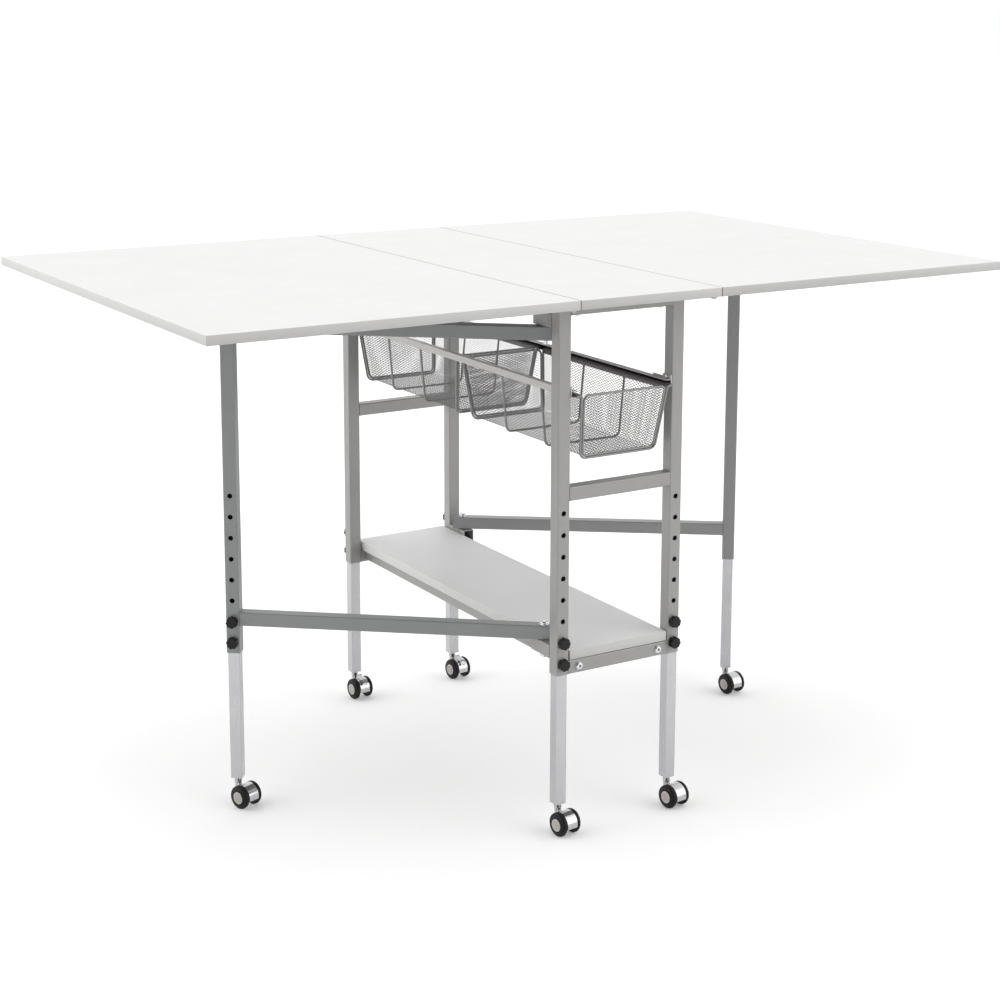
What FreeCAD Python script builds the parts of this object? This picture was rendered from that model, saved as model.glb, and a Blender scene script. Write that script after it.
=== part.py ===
import FreeCAD, Part
import math, os
from FreeCAD import Vector as V, Placement, Rotation

os.makedirs("parts", exist_ok=True)

# Folding sewing and cutting table.  Millimetres, +Z up, floor at Z = 0, origin on the floor under
# the middle of the top.  X runs along the long side, +Y to the back.

# ---------------------------------------------------------------- driving dimensions
TOP_LENGTH = 1492.0       # both leaves up
TOP_DEPTH = 927.0
TOP_HEIGHT = 900.0        # working surface, legs at their longest setting
TOP_T = 15.0              # laminated board
SEAM_X = 134.7            # seam between the fixed centre strip and a leaf
SEAM_GAP = 0.8

LEG_X = 110.0             # centre of each frame leg
LEG_Y = 370.0
TUBE = 23.0               # outer square tube
WALL = 1.2
INNER = 20.0              # telescoping square tube
TUBE_R = 2.0              # corner radius of the outer tube
INNER_R = 1.6

UPRIGHT_Z0 = 271.0        # bottom end of every outer tube
INNER_Z0 = 48.8           # bottom end of every telescoping tube
INNER_Z1 = 352.0
HOLE_Z0 = 290.0           # lowest height hole
HOLE_PITCH = 36.0
HOLE_COUNT = 8
HOLE_R = 4.3

MID_RAIL_Z0 = 561.0
SHELF_T = 16.0
SHELF_GAP = 1.0           # shelf stands on the stretchers, just clear of the bottom rails
SHELF_HALF_X = 96.0
SHELF_HALF_Y = 381.5
STRETCHER = 20.0
STRETCHER_X = 78.5

PIVOT_Y = 325.0           # gate hinge line, from the middle
BLOCK_LEN = 54.5
LOW_BLOCK_Z0 = 295.0
UP_BLOCK_Z0 = 840.0
LOW_ARM_Z0 = 319.0
UP_ARM_Z0 = 816.0
GATE_R = 522.0            # hinge line to the middle of the gate's leg
GATE_TAIL = 19.0
GATE_LEFT_DEG = 141.1     # direction of the left gate, from +X
GATE_RIGHT_DEG = -36.1
PIVOT_R = 4.0
RUNNING = 0.05            # radial clearance of a running fit
GLIDE_GAP = 0.6           # between a gate's glide and the leaf

RAIL_Z0 = 729.3           # basket rails, C channels
RAIL_H = 11.0
RAIL_W = 11.0
RAIL_OUT = 97.3
RAIL_T = 1.2

RIM_Z = 733.0             # baskets
BASKET_BOT_Z = 625.8
BASKET_OUT_Y = 390.5      # outer end of the rim
BASKET_IN_Y = 10.0        # inner end of the rim
WIRE_R = 1.9

WHEEL_R = 20.0            # casters
TRAIL = 19.0
HOOD_R = 19.8
HOOD_W = 20.4
NECK_R = 6.3
KNOB_D = 8.4
STEM_R = 4.0
AXLE_R = 2.9

HINGE_Y = (-420.0, 0.0, 420.0)
HINGE_Z = TOP_HEIGHT - TOP_T - 3.4

H = TUBE / 2.0
UNDER = TOP_HEIGHT - TOP_T


# ---------------------------------------------------------------- helpers
def box(x0, x1, y0, y1, z0, z1):
    return Part.makeBox(x1 - x0, y1 - y0, z1 - z0, V(x0, y0, z0))


def cyl(r, h, p, d=V(0, 0, 1)):
    return Part.makeCylinder(r, h, p, d)


def rrect(w, h, r):
    x, y = w / 2.0, h / 2.0
    k = r * (1 - math.sqrt(0.5))
    pts = [
        ("l", V(-x + r, -y, 0), V(x - r, -y, 0)),
        ("a", V(x - r, -y, 0), V(x - k, -y + k, 0), V(x, -y + r, 0)),
        ("l", V(x, -y + r, 0), V(x, y - r, 0)),
        ("a", V(x, y - r, 0), V(x - k, y - k, 0), V(x - r, y, 0)),
        ("l", V(x - r, y, 0), V(-x + r, y, 0)),
        ("a", V(-x + r, y, 0), V(-x + k, y - k, 0), V(-x, y - r, 0)),
        ("l", V(-x, y - r, 0), V(-x, -y + r, 0)),
        ("a", V(-x, -y + r, 0), V(-x + k, -y + k, 0), V(-x + r, -y, 0)),
    ]
    edges = []
    for p in pts:
        if p[0] == "l":
            edges.append(Part.makeLine(p[1], p[2]))
        else:
            edges.append(Part.Arc(p[1], p[2], p[3]).toShape())
    return Part.Wire(edges)


def square_tube(length, side=TUBE, wall=WALL, r=TUBE_R):
    """Along +Z from the origin."""
    outer = Part.Face(rrect(side, side, r))
    solid = outer.extrude(V(0, 0, length))
    if wall:
        inner = Part.Face(rrect(side - 2 * wall, side - 2 * wall, max(r - wall, 0.4)))
        solid = solid.cut(inner.extrude(V(0, 0, length)))
    return solid


def along(shape, axis, at):
    """Turn a shape made along +Z so that it runs along +X, +Y or +Z, then move it."""
    s = shape.copy()
    if axis == "X":
        s.rotate(V(0, 0, 0), V(0, 1, 0), 90)
    elif axis == "Y":
        s.rotate(V(0, 0, 0), V(1, 0, 0), -90)
    s.translate(at)
    return s


def turned(shape, deg, at=V(0, 0, 0)):
    s = shape.copy()
    s.rotate(V(0, 0, 0), V(0, 0, 1), deg)
    s.translate(at)
    return s


def solids(shape):
    return shape.Solids


def write(name, shapes):
    out = []
    for s in shapes if isinstance(shapes, (list, tuple)) else [shapes]:
        out += s.Solids
    for s in out:
        if not s.isValid():
            print("INVALID", name)
    shape = out[0] if len(out) == 1 else Part.makeCompound(out)
    shape.exportStep("parts/%s.step" % name)
    b = shape.BoundBox
    print("%-26s %2d  vol %9.0f  x %7.1f %7.1f  y %7.1f %7.1f  z %6.1f %6.1f"
          % (name, len(out), shape.Volume, b.XMin, b.XMax, b.YMin, b.YMax, b.ZMin, b.ZMax))


def bent_path(points, radius, closed=False):
    """Straight runs joined by tangent arcs."""
    n = len(points)
    edges = []
    ends = []
    idx = range(n) if closed else range(1, n - 1)
    arcs = {}
    for i in idx:
        a, b, c = points[i - 1], points[i], points[(i + 1) % n]
        u = (a - b).normalize()
        w = (c - b).normalize()
        ang = math.acos(max(-1, min(1, u.dot(w))))
        t = radius / math.tan(ang / 2.0)
        p, q = b + u * t, b + w * t
        bis = (u + w).normalize()
        mid = b + bis * (radius / math.sin(ang / 2.0) - radius)
        arcs[i] = (p, mid, q)
    if closed:
        for i in range(n):
            q0 = arcs[i][2]
            p1 = arcs[(i + 1) % n][0]
            edges.append(Part.Arc(*arcs[i]).toShape())
            edges.append(Part.makeLine(q0, p1))
        # begin in the middle of the last run
        last = edges.pop()
        m = (last.Vertexes[0].Point + last.Vertexes[-1].Point) * 0.5
        a0, a1 = arcs[n - 1][2], arcs[0][0]
        edges = [Part.makeLine(m, a1)] + edges + [Part.makeLine(a0, m)]
        start, direction = m, (a1 - m).normalize()
    else:
        prev = points[0]
        for i in range(1, n - 1):
            edges.append(Part.makeLine(prev, arcs[i][0]))
            edges.append(Part.Arc(*arcs[i]).toShape())
            prev = arcs[i][2]
        edges.append(Part.makeLine(prev, points[-1]))
        start, direction = points[0], (points[1] - points[0]).normalize()
    return Part.Wire(edges), start, direction


def bent_wire(points, radius, r, closed=False):
    path, start, direction = bent_path(points, radius, closed)
    prof = Part.Wire([Part.makeCircle(r, start, direction)])
    s = path.makePipeShell([prof], True, False)
    if s.Volume < 0:
        s.reverse()
    expect = math.pi * r * r * path.Length
    if abs(s.Volume / expect - 1) > 0.01:
        print("pipe volume off", s.Volume, expect)
    return s


def hexa(p):
    """Solid with the corners p[0..3] below or outside, p[4..7] above or inside."""
    quads = [(0, 1, 2, 3), (4, 5, 6, 7), (0, 1, 5, 4), (1, 2, 6, 5), (2, 3, 7, 6), (3, 0, 4, 7)]
    faces = [Part.Face(Part.makePolygon([p[i] for i in q] + [p[q[0]]])) for q in quads]
    s = Part.Solid(Part.Shell(faces))
    if s.Volume < 0:
        s.reverse()
    return s


def pan_head(r, h, p, up):
    """Low domed head, flat side at p, rising along up."""
    d = V(0, 0, 0) + up
    d.normalize()
    c = cyl(r, h, p, d)
    top = [e for e in c.Edges if e.Curve.TypeId == "Part::GeomCircle"
           and (e.Curve.Center - (p + d * h)).Length < 1e-6]
    return c.makeFillet(h * 0.6, top)


# ---------------------------------------------------------------- end frames
def end_frame(side):
    """side -1: front, +1: back.  Two uprights, three cross rails and one pair of hinge blocks."""
    y = side * LEG_Y
    out = []
    for sx in (-1, 1):
        t = square_tube(UNDER - UPRIGHT_Z0)
        t.translate(V(sx * LEG_X, y, UPRIGHT_Z0))
        for k in range(HOLE_COUNT):
            t = t.cut(cyl(HOLE_R, 2 * WALL + 1,
                          V(sx * LEG_X, side * (LEG_Y + H - 2 * WALL), HOLE_Z0 + k * HOLE_PITCH),
                          V(0, side, 0)))
        # screw holes for the basket rail, in the inner face
        t = t.cut(cyl(1.75, 4, V(sx * (LEG_X - H - 1), side * LEG_Y, RAIL_Z0 + RAIL_H + 3.4), V(sx, 0, 0)))
        out.append(t)
    span = 2 * (LEG_X - H)
    for z0 in (UNDER - TUBE, MID_RAIL_Z0, UPRIGHT_Z0):
        r = along(square_tube(span), "X", V(-span / 2, y, z0 + H))
        if z0 == UNDER - TUBE:
            for sx in (-1, 1):
                r = r.cut(cyl(2.4, TUBE + 2, V(sx * 80, y, z0 - 1)))
        if z0 == UPRIGHT_Z0:
            for sx in (-1, 1):
                r = r.cut(cyl(3.2, TUBE + 2, V(sx * STRETCHER_X, y - H - 1, z0 + H), V(0, 1, 0)))
        out.append(r)
    # the front frame carries the left gate, the back frame the right gate
    bx = side * LEG_X
    y0 = -side * 0 + (LEG_Y - H - BLOCK_LEN)
    for z0 in (LOW_BLOCK_Z0, UP_BLOCK_Z0):
        b = along(square_tube(BLOCK_LEN), "Y", V(bx, y0 if side > 0 else -(LEG_Y - H), z0 + H))
        b = b.cut(cyl(PIVOT_R + 0.1, TUBE + 2, V(bx, side * PIVOT_Y, z0 - 1)))
        out.append(b)
    return out


write("front_end_frame", end_frame(-1))
write("back_end_frame", end_frame(1))

# ---------------------------------------------------------------- top boards, shelf
seam = SEAM_X - SEAM_GAP / 2


def board(x0, x1, y0, y1, z0, z1):
    b = box(x0, x1, y0, y1, z0, z1)
    return b


center = board(-seam, seam, -TOP_DEPTH / 2, TOP_DEPTH / 2, UNDER, TOP_HEIGHT)
for sy in (-1, 1):
    for sx in (-1, 1):
        center = center.cut(cyl(2.4, 11, V(sx * 80, sy * LEG_Y, UNDER - 1)))
PLATE_L, PLATE_W, PLATE_T = 50.0, 27.0, 1.5
KNUCKLE_R, PIN_R = 3.3, 1.5
plates = {"center": [], "left": [], "right": []}
pins = []
screw_xy = [(-16.0, 9.0), (16.0, 9.0), (0.0, 20.0)]       # along Y, away from the seam


def hinge_screw(x, y):
    """Flat under the plate, shank up into the board."""
    head = pan_head(3.2, 1.4, V(x, y, UNDER - PLATE_T), V(0, 0, -1))
    shank = cyl(1.7, PLATE_T + 9.0, V(x, y, UNDER - PLATE_T))
    return head.fuse(shank)


def hinge_plate(sx, y, which):
    """which 'center' or a leaf; sx side of the table; the plate lies away from the seam."""
    d = -sx if which == "center" else sx
    x_in = sx * SEAM_X + d * 1.4
    x_out = sx * SEAM_X + d * (1.4 + PLATE_W)
    p = box(min(x_in, x_out), max(x_in, x_out), y - PLATE_L / 2, y + PLATE_L / 2, UNDER - PLATE_T, UNDER)
    if which == "center":
        spans = [(-PLATE_L / 2, -8.6), (8.6, PLATE_L / 2)]
    else:
        spans = [(-8.2, 8.2)]
    for a, b in spans:
        k = cyl(KNUCKLE_R, b - a, V(sx * SEAM_X, y + a, HINGE_Z), V(0, 1, 0))
        web = box(min(sx * SEAM_X, x_in + d * 3), max(sx * SEAM_X, x_in + d * 3), y + a, y + b,
                  HINGE_Z + 1.7, UNDER)
        k = k.fuse(web)
        k = k.cut(cyl(PIN_R + RUNNING, b - a + 2, V(sx * SEAM_X, y + a - 1, HINGE_Z), V(0, 1, 0)))
        p = p.fuse(k)
    # keep each half clear of the other half's barrels
    if which == "center":
        p = p.cut(box(sx * SEAM_X - 4.2, sx * SEAM_X + 4.2, y - 8.6, y + 8.6, HINGE_Z - 5, UNDER + 1))
    else:
        for a, b in ((-PLATE_L / 2 - 1, -8.2), (8.2, PLATE_L / 2 + 1)):
            p = p.cut(box(sx * SEAM_X - 4.2, sx * SEAM_X + 4.2, y + a, y + b, HINGE_Z - 5, UNDER + 1))
    # nothing of the half stands above the underside of the boards
    p = p.cut(box(-800, 800, -600, 600, UNDER, UNDER + 20))
    out = [p.removeSplitter()]
    for dy, dx in screw_xy:
        x = sx * SEAM_X + d * dx
        out[0] = out[0].cut(cyl(1.7, 10, V(x, y + dy, UNDER - 5)))
        out.append(hinge_screw(x, y + dy))
    return out


leaf = {}
for sx, nm in ((-1, "left"), (1, "right")):
    x0, x1 = sorted((sx * (SEAM_X + SEAM_GAP / 2), sx * TOP_LENGTH / 2))
    leaf[nm] = board(x0, x1, -TOP_DEPTH / 2, TOP_DEPTH / 2, UNDER, TOP_HEIGHT)
    for y in HINGE_Y:
        plates["center"] += hinge_plate(sx, y, "center")
        plates[nm] += hinge_plate(sx, y, nm)
        pins.append(cyl(PIN_R, PLATE_L + 1, V(sx * SEAM_X, y - PLATE_L / 2 - 0.5, HINGE_Z), V(0, 1, 0)))
        for dy, dx in screw_xy:
            center = center.cut(cyl(1.7, 9.0 + 0.5, V(sx * (SEAM_X - dx), y + dy, UNDER - 0.5)))
            leaf[nm] = leaf[nm].cut(cyl(1.7, 9.0 + 0.5, V(sx * (SEAM_X + dx), y + dy, UNDER - 0.5)))

write("center_top", center)
write("left_leaf", leaf["left"])
write("right_leaf", leaf["right"])
write("center_hinge_plates", plates["center"])
write("left_hinge_plates", plates["left"])
write("right_hinge_plates", plates["right"])
write("hinge_pins", pins)

SHELF_Z0 = UPRIGHT_Z0 + TUBE + SHELF_GAP
shelf = board(-SHELF_HALF_X, SHELF_HALF_X, -SHELF_HALF_Y, SHELF_HALF_Y, SHELF_Z0, SHELF_Z0 + SHELF_T)
screw_y = (-200.0, 200.0)
for sx in (-1, 1):
    for y in screw_y:
        shelf = shelf.cut(cyl(1.8, 11, V(sx * STRETCHER_X, y, SHELF_Z0 - 1)))
write("shelf", shelf)

# ---------------------------------------------------------------- side stretchers under the shelf
st_len = 2 * (LEG_Y - H)
st_z = SHELF_Z0 - STRETCHER / 2
bolt_z = UPRIGHT_Z0 + H
for sx, nm in ((-1, "left"), (1, "right")):
    t = along(square_tube(st_len, STRETCHER, WALL, INNER_R), "Y", V(sx * STRETCHER_X, -st_len / 2, st_z))
    for y in screw_y:
        t = t.cut(cyl(1.9, STRETCHER + 2, V(sx * STRETCHER_X, y, SHELF_Z0 - STRETCHER - 1)))
    parts = [t]
    for sy in (-1, 1):
        w = STRETCHER - 2 * WALL - 0.1
        y0 = sy * st_len / 2
        plug = Part.Face(rrect(w, w, 0.6)).extrude(V(0, 0, 16.0))
        plug = along(plug, "Y", V(sx * STRETCHER_X, min(y0, y0 - sy * 16), st_z))
        plug = plug.cut(cyl(3.05, 20, V(sx * STRETCHER_X, y0 + sy * 2, bolt_z), V(0, -sy, 0)))
        parts.append(plug)
    write("%s_side_stretcher" % nm, parts)

# bolts through the bottom rails into the stretcher ends
bolts = []
for sy in (-1, 1):
    for sx in (-1, 1):
        p = V(sx * STRETCHER_X, sy * (LEG_Y + H), bolt_z)
        head = cyl(6.4, 0.8, p, V(0, sy, 0)).fuse(pan_head(5.9, 3.2, p + V(0, sy * 0.8, 0), V(0, sy, 0)))
        hexa_cut = Part.Face(Part.makePolygon([V(2.4 * math.cos(math.radians(60 * i)), 2.4 * math.sin(math.radians(60 * i)), 0)
                                               for i in range(7)])).extrude(V(0, 0, 3))
        hexa_cut = along(hexa_cut, "Y", V(0, 0, 0))
        hexa_cut.translate(V(p.x, p.y + (sy * 4.3 if sy < 0 else 4.3 - 3.0), p.z))
        if sy < 0:
            hexa_cut.translate(V(0, 0.0, 0))
        b = head.fuse(cyl(3.0, TUBE + 14, p, V(0, -sy, 0))).cut(hexa_cut)
        bolts.append(b.removeSplitter())
write("stretcher_bolts", bolts)

shelf_screws = []
for sx in (-1, 1):
    for y in screw_y:
        z0 = SHELF_Z0 - STRETCHER
        shelf_screws.append(pan_head(4.2, 2.2, V(sx * STRETCHER_X, y, z0), V(0, 0, -1))
                            .fuse(cyl(1.8, STRETCHER + 10, V(sx * STRETCHER_X, y, z0))))
write("shelf_screws", shelf_screws)

top_screws = []
for sy in (-1, 1):
    for sx in (-1, 1):
        z0 = UNDER - TUBE
        top_screws.append(pan_head(4.8, 2.8, V(sx * 80, sy * LEG_Y, z0), V(0, 0, -1))
                          .fuse(cyl(2.35, TUBE + 10, V(sx * 80, sy * LEG_Y, z0))))
write("top_screws", top_screws)

# ---------------------------------------------------------------- basket rails
rail_screws = []
for sx, nm in ((-1, "left"), (1, "right")):
    L = 2 * (LEG_Y + H - 0.5)
    xo, xi = sx * RAIL_OUT, sx * (RAIL_OUT - RAIL_W)
    x0, x1 = min(xo, xi), max(xo, xi)
    r = box(x0, x1, -L / 2, L / 2, RAIL_Z0, RAIL_Z0 + RAIL_H)
    cx0, cx1 = (x0 + RAIL_T, x1 + 1) if sx < 0 else (x0 - 1, x1 - RAIL_T)
    r = r.cut(box(cx0, cx1, -L / 2 - 1, L / 2 + 1, RAIL_Z0 + RAIL_T, RAIL_Z0 + RAIL_H - RAIL_T))
    tx0, tx1 = sorted((sx * RAIL_OUT, sx * (LEG_X - H)))
    wx0, wx1 = sorted((sx * (RAIL_OUT - RAIL_T), sx * (LEG_X - H)))
    for sy in (-1, 1):
        ya, yb = sorted((sy * (LEG_Y - H), sy * (LEG_Y + H - 0.5)))
        pad = box(tx0, tx1, ya, yb, RAIL_Z0, RAIL_Z0 + RAIL_H)
        yc, yd = sorted((sy * (LEG_Y - H - 28), sy * (LEG_Y + H - 0.5)))
        # upright tab above the channel, with the screw beside the leg
        tab = box(min(wx0, wx1), max(wx0, wx1), ya, yb, RAIL_Z0 + RAIL_H - 1, RAIL_Z0 + RAIL_H + 7)
        ledge = box(*sorted((sx * (RAIL_OUT - RAIL_T), sx * RAIL_OUT)), yc, yd,
                    RAIL_Z0 + RAIL_H - 1, RAIL_Z0 + RAIL_H + 3.0)
        r = r.fuse(pad).fuse(tab).fuse(ledge)
        sz = RAIL_Z0 + RAIL_H + 3.4
        p = V(sx * (RAIL_OUT - RAIL_T), sy * LEG_Y, sz)
        r = r.cut(cyl(1.75, 6, V(sx * (RAIL_OUT - 3), sy * LEG_Y, sz), V(sx, 0, 0)))
        rail_screws.append(pan_head(3.2, 1.8, p, V(-sx, 0, 0)).fuse(cyl(1.7, 7, p, V(sx, 0, 0))))
    write("%s_basket_rail" % nm, r.removeSplitter())
write("rail_screws", rail_screws)

# ---------------------------------------------------------------- gates
def hexnut(af, h, z0, hole=0):
    r = af / math.sqrt(3)
    f = Part.Face(Part.makePolygon([V(r * math.cos(math.radians(60 * i)), r * math.sin(math.radians(60 * i)), z0)
                                    for i in range(7)]))
    s = f.extrude(V(0, 0, h))
    return s.cut(cyl(hole, h + 2, V(0, 0, z0 - 1))) if hole else s


def gate_local():
    """Hinge line at the origin, the gate along +X, knobs on the +Y face."""
    out = []
    top = UNDER - GLIDE_GAP - 3.0
    leg = square_tube(top - UPRIGHT_Z0)
    leg.translate(V(GATE_R, 0, UPRIGHT_Z0))
    for k in range(HOLE_COUNT):
        leg = leg.cut(cyl(HOLE_R, 2 * WALL + 1, V(GATE_R, H - 2 * WALL, HOLE_Z0 + k * HOLE_PITCH), V(0, 1, 0)))
    out.append(leg)
    for z0 in (LOW_ARM_Z0, UP_ARM_Z0):
        a = along(square_tube(GATE_TAIL + GATE_R - H), "X", V(-GATE_TAIL, 0, z0 + H))
        a = a.cut(cyl(PIVOT_R + RUNNING, TUBE + 2, V(0, 0, z0 - 1)))
        out.append(a)
    glide = Part.Face(rrect(TUBE, TUBE, TUBE_R)).extrude(V(0, 0, 3.0))
    glide.translate(V(GATE_R, 0, top))
    w = TUBE - 2 * WALL - 0.2
    stub = Part.Face(rrect(w, w, 0.8)).extrude(V(0, 0, 18.0))
    stub.translate(V(GATE_R, 0, top - 18.0))
    glide = glide.fuse(stub).removeSplitter()
    return out, glide


gate_solids, glide = gate_local()
GATES = {"left": (GATE_LEFT_DEG, V(-LEG_X, -PIVOT_Y, 0)), "right": (GATE_RIGHT_DEG, V(LEG_X, PIVOT_Y, 0))}
pivots = []
for nm, (deg, at) in GATES.items():
    write("%s_gate_frame" % nm, [turned(s, deg, at) for s in gate_solids])
    write("%s_gate_glide" % nm, turned(glide, deg, at))
    # lower bolt: domed head and washer on the arm, nut under the block
    low = cyl(PIVOT_R, LOW_ARM_Z0 + TUBE + 1.4 - (LOW_BLOCK_Z0 - 8), V(0, 0, LOW_BLOCK_Z0 - 8))
    low = low.fuse(cyl(8.6, 1.2, V(0, 0, LOW_ARM_Z0 + TUBE + 0.2)))
    low = low.fuse(pan_head(6.6, 4.2, V(0, 0, LOW_ARM_Z0 + TUBE + 1.4), V(0, 0, 1)))
    low = low.fuse(hexnut(13.0, 6.0, LOW_BLOCK_Z0 - 6.0))
    low = low.fuse(cyl(8.6, LOW_ARM_Z0 - LOW_BLOCK_Z0 - TUBE - 0.1, V(0, 0, LOW_BLOCK_Z0 + TUBE)))
    # upper bolt: head on the block, end below the arm
    zt = UP_BLOCK_Z0 + TUBE
    up = cyl(PIVOT_R, zt - (UP_ARM_Z0 - 7.0), V(0, 0, UP_ARM_Z0 - 7.0))
    up = up.fuse(cyl(8.6, 1.2, V(0, 0, zt))).fuse(pan_head(6.6, 4.2, V(0, 0, zt + 1.2), V(0, 0, 1)))
    up = up.fuse(cyl(8.6, UP_BLOCK_Z0 - UP_ARM_Z0 - TUBE - 0.1, V(0, 0, UP_ARM_Z0 + TUBE + 0.1)))
    up = up.fuse(cyl(6.0, 1.0, V(0, 0, UP_ARM_Z0 - 1.2)))
    pivots += [turned(low.removeSplitter(), 0, at), turned(up.removeSplitter(), 0, at)]
write("gate_pivot_bolts", pivots)


# ---------------------------------------------------------------- telescoping legs, knobs and casters
def leg_local():
    """Axis at the origin, knob face towards +Y."""
    i = INNER / 2
    w = INNER - 2 * WALL
    t = square_tube(INNER_Z1 - INNER_Z0 - 1.5, INNER, WALL, INNER_R)
    t.translate(V(0, 0, INNER_Z0 + 1.5))
    out = []
    nuts = []
    for k in (0, 1):
        z = HOLE_Z0 + k * HOLE_PITCH
        t = t.cut(cyl(5.0, 3, V(0, i - 2, z), V(0, 1, 0)))
        nut = cyl(4.95, 8, V(0, i - 8, z), V(0, 1, 0)).fuse(cyl(6.5, 2.0, V(0, i - WALL - 2.05, z), V(0, 1, 0)))
        nut = nut.cut(cyl(3.0 + RUNNING, 12, V(0, i - 10, z), V(0, 1, 0)))
        nuts.append(nut)
    out.append(t)
    out += nuts
    plug = Part.Face(rrect(w - 0.1, w - 0.1, 0.6)).extrude(V(0, 0, 26.0))
    plug.translate(V(0, 0, INNER_Z0 + 1.5))
    flange = Part.Face(rrect(INNER, INNER, INNER_R)).extrude(V(0, 0, 1.5))
    flange.translate(V(0, 0, INNER_Z0))
    plug = plug.fuse(flange).cut(cyl(STEM_R + RUNNING, 25, V(0, 0, INNER_Z0 - 1))).removeSplitter()
    out.append(plug)
    return out


def knob_local():
    """Stud along the Y axis at Z = 0, the outer tube's face at Y = H."""
    y0 = H + 0.3
    core = cyl(8.2, KNOB_D, V(0, y0 + 1.0, 0), V(0, 1, 0))
    for i in range(8):
        a = math.radians(45 * i + 22.5)
        core = core.fuse(cyl(2.6, KNOB_D, V(7.4 * math.cos(a), y0 + 1.0, 7.4 * math.sin(a)), V(0, 1, 0)))
    env = cyl(10.0, KNOB_D, V(0, y0 + 1.0, 0), V(0, 1, 0))
    outer_edge = [e for e in env.Edges if e.Curve.TypeId == "Part::GeomCircle"
                  and abs(e.Curve.Center.y - (y0 + 1.0 + KNOB_D)) < 1e-6]
    env = env.makeFillet(2.0, outer_edge)
    core = core.common(env)
    core = core.fuse(cyl(6.8, 1.0, V(0, y0, 0), V(0, 1, 0)))
    core = core.fuse(cyl(3.0, H + 2 - 3.0 + 0.4, V(0, 3.0, 0), V(0, 1, 0)))
    return core.removeSplitter()


def sector(r0, r1, a0, a1, half_x):
    """Ring sector about the axle, angles in degrees from the front horizontal towards the top."""
    c = V(0, -TRAIL, WHEEL_R)

    def p(r, a):
        return V(-half_x, c.y - r * math.cos(math.radians(a)), c.z + r * math.sin(math.radians(a)))

    am = (a0 + a1) / 2.0
    w = Part.Wire([Part.Arc(p(r0, a0), p(r0, am), p(r0, a1)).toShape(), Part.makeLine(p(r0, a1), p(r1, a1)),
                   Part.Arc(p(r1, a1), p(r1, am), p(r1, a0)).toShape(), Part.makeLine(p(r1, a0), p(r0, a0))])
    return Part.Face(w).extrude(V(2 * half_x, 0, 0))


PIN_A, PIN_RAD = 36.0, 21.8      # brake lever's pin, on the front of the hood
PIN_Y = -TRAIL - PIN_RAD * math.cos(math.radians(PIN_A))
PIN_Z = WHEEL_R + PIN_RAD * math.sin(math.radians(PIN_A))


def housing_local(brake):
    """Swivel axis at the origin, the wheels' axle parallel to X at Y = -TRAIL."""
    c = V(0, -TRAIL, WHEEL_R)
    ring = sector(HOOD_R - 1.6, HOOD_R, -14.0, 152.0, HOOD_W / 2)
    web = sector(4.0, HOOD_R - 1.0, -12.0, 150.0, 3.5)
    boss = cyl(6.0, HOOD_W, V(-HOOD_W / 2, c.y, c.z), V(1, 0, 0))
    top = INNER_Z0 - 0.3
    prof = [(0, 27.0), (5.2, 27.0), (5.2, 33.0), (6.0, 38.5), (NECK_R, 41.5), (NECK_R, 44.0), (5.5, 44.4), (5.5, 45.4),
            (NECK_R, 45.8), (NECK_R, top - 0.6), (5.7, top), (STEM_R, top), (STEM_R, top + 23.6), (0, top + 23.6)]
    pts = [V(r, 0, z) for r, z in prof]
    neck = Part.Face(Part.makePolygon(pts + [pts[0]])).revolve(V(0, 0, 0), V(0, 0, 1), 360)
    arm = box(-3.5, 3.5, c.y, 0, 27.0, 36.0)
    body = ring.fuse(web).fuse(boss).fuse(neck).fuse(arm)
    if brake:
        for sx in (-1, 1):
            lug = sector(HOOD_R - 1.0, 23.6, PIN_A - 6, PIN_A + 6, 1.1)
            lug.translate(V(sx * 5.1, 0, 0))
            body = body.fuse(lug)
        body = body.fuse(cyl(1.0, 12.0, V(-6.0, PIN_Y, PIN_Z), V(1, 0, 0)))
    body = body.cut(cyl(AXLE_R + RUNNING, HOOD_W + 4, V(-HOOD_W / 2 - 2, c.y, c.z), V(1, 0, 0)))
    return body.removeSplitter()


def lever_local():
    """Lies on the hood, hinged at its lower front end; thumb tab with two lobes at the top."""
    plate = sector(20.3, 21.9, 46.0, 97.0, 5.6)
    neck = sector(20.3, 22.8, 35.0, 48.0, 3.7)
    hub = cyl(1.7, 7.4, V(-3.7, PIN_Y, PIN_Z), V(1, 0, 0))
    rib = sector(21.2, 23.0, 50.0, 56.0, 5.6)
    tab = sector(21.0, 24.8, 88.0, 97.0, 4.6)
    s = plate.fuse(neck).fuse(hub).fuse(rib).fuse(tab)
    for sx in (-1, 1):
        s = s.fuse(sector(24.2, 26.2, 88.0, 97.0, 1.7).translated(V(sx * 2.6, 0, 0)))
    s = s.cut(cyl(1.0 + RUNNING, 10, V(-5.0, PIN_Y, PIN_Z), V(1, 0, 0)))
    return s.removeSplitter()


def wheels_local():
    prof = [(0, 0), (0, AXLE_R), (10.6, AXLE_R), (10.6, 18.6), (11.4, 19.7), (12.4, WHEEL_R), (15.6, WHEEL_R),
            (17.2, 19.4), (18.4, 17.6), (19.4, 14.4), (20.0, 10.4), (20.2, 9.0), (20.2, 0)]
    half = [V(x, -TRAIL + r, WHEEL_R) for x, r in prof]
    f = Part.Face(Part.makePolygon(half + [half[0]]))
    s = f.revolve(V(0, -TRAIL, WHEEL_R), V(1, 0, 0), 360)
    m = s.mirror(V(0, 0, 0), V(1, 0, 0))
    return s.fuse(m).removeSplitter()


leg_solids = leg_local()
knob = knob_local()
wheels = wheels_local()


def gate_leg(nm):
    deg, at = GATES[nm]
    a = math.radians(deg)
    return deg, at + V(GATE_R * math.cos(a), GATE_R * math.sin(a), 0)


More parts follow.
